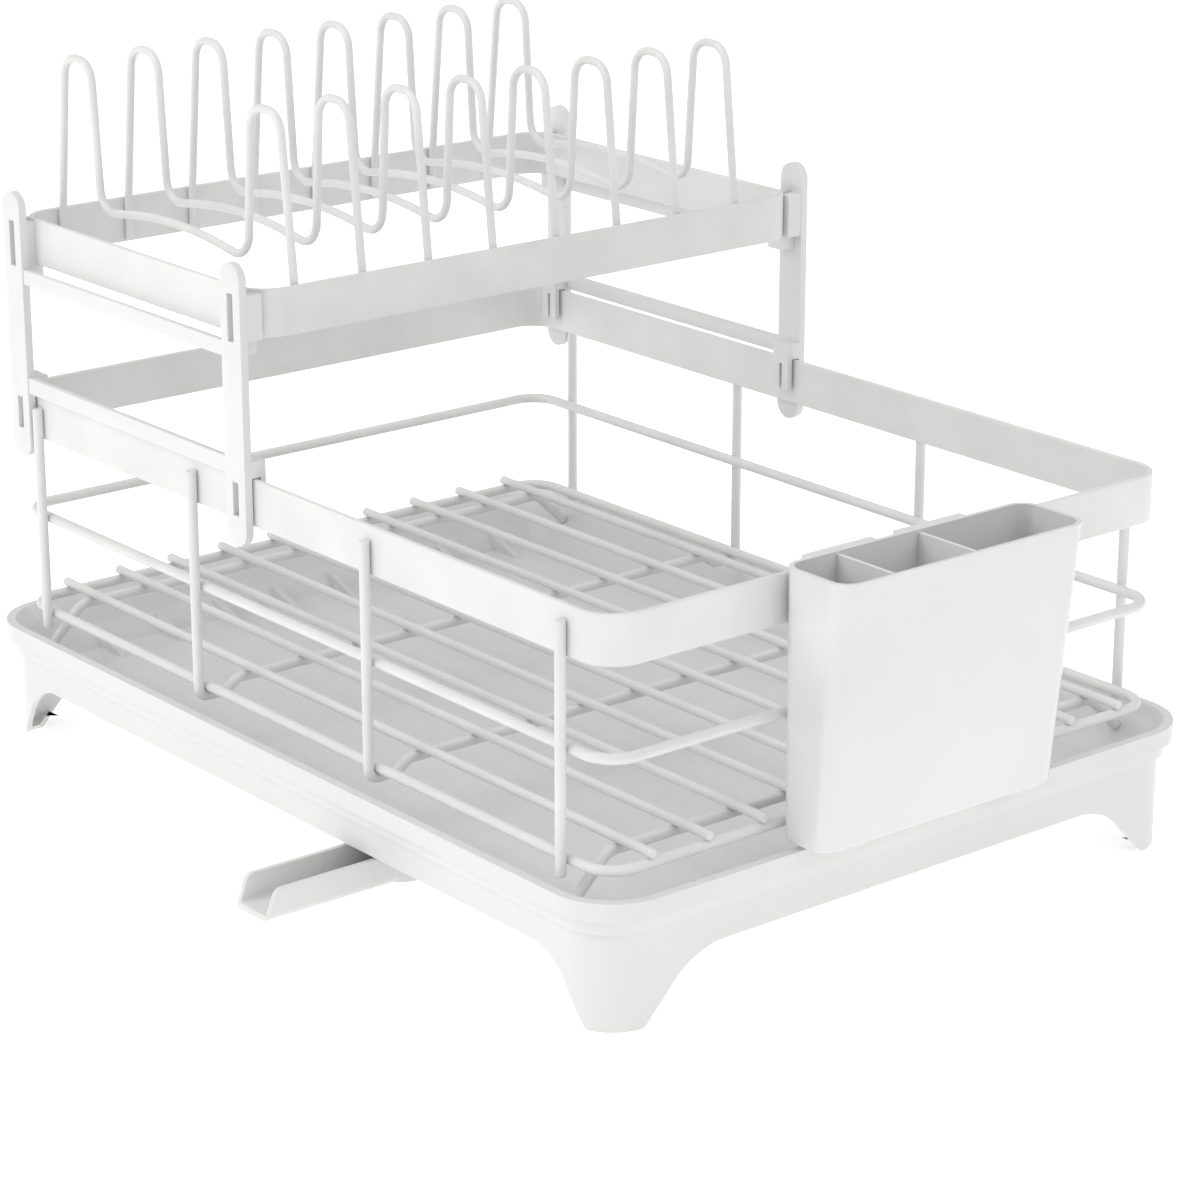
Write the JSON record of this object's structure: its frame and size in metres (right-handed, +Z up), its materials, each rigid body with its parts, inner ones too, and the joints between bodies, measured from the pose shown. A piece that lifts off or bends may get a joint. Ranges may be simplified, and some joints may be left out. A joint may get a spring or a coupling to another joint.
{
  "type": "dish drying rack",
  "caption": "Two-level dish drying rack: wire basket and plate tier with flat band rims, drip tray on corner legs, swivel drain spout and hook-on utensil holder.",
  "frame": {"origin": "on the counter, under the middle of the object's bounding box", "axes": "+X along the rack's length towards the utensil holder, +Z up, -Y towards the side where the drain spout comes out"},
  "size_m": [0.4194, 0.3314, 0.2796],
  "materials": {
    "coated_steel": "satin",
    "tray_plastic": "semi-gloss",
    "frame_plastic": "semi-gloss",
    "holder_plastic": "gloss"
  },
  "bodies": {
    "stand": {"drip_tray": "tray_plastic", "leg_base": "tray_plastic"},
    "spout": {"drain_spout": "tray_plastic"},
    "lower_rack": {"base_ring": "coated_steel", "corner_upright_1": "coated_steel", "corner_upright_2": "coated_steel", "corner_upright_3": "coated_steel", "corner_upright_4": "coated_steel", "end_cross_wire_left": "coated_steel", "end_cross_wire_right": "coated_steel", "floor_wire_01": "coated_steel", "floor_wire_02": "coated_steel", "floor_wire_03": "coated_steel", "floor_wire_04": "coated_steel", "floor_wire_05": "coated_steel", "floor_wire_06": "coated_steel", "floor_wire_07": "coated_steel", "floor_wire_08": "coated_steel", "floor_wire_09": "coated_steel", "floor_wire_10": "coated_steel", "lower_band_ring": "coated_steel", "mid_rail_ring": "coated_steel", "u_wire_left": "coated_steel", "u_wire_right": "coated_steel"},
    "upper_tier": {"plate_wire_1": "coated_steel", "plate_wire_2": "coated_steel", "plate_wire_3": "coated_steel", "plate_wire_4": "coated_steel", "plate_wire_5": "coated_steel", "plate_wire_6": "coated_steel", "plate_wire_7": "coated_steel", "plate_wire_8": "coated_steel", "side_frame_back": "frame_plastic", "side_frame_front": "frame_plastic", "upper_band_ring": "coated_steel"},
    "utensil_holder": {"utensil_holder": "holder_plastic"}
  },
  "joints": [
    {"name": "spout_swivel", "type": "hinge", "parent": "stand", "child": "spout", "pos_m": [0.04025, -0.10025, 0.019], "axis": [0, 0, 1], "range_deg": [-180, 90]},
    {"name": "rack_lift", "type": "slide", "parent": "stand", "child": "lower_rack", "axis": [0, 0, 1], "range_m": [0, 0.1]},
    {"name": "tier_lift", "type": "slide", "parent": "lower_rack", "child": "upper_tier", "axis": [0, 0, 1], "range_m": [0, 0.1]},
    {"name": "holder_lift", "type": "slide", "parent": "lower_rack", "child": "utensil_holder", "axis": [0, 0, 1], "range_m": [0, 0.1]}
  ]
}
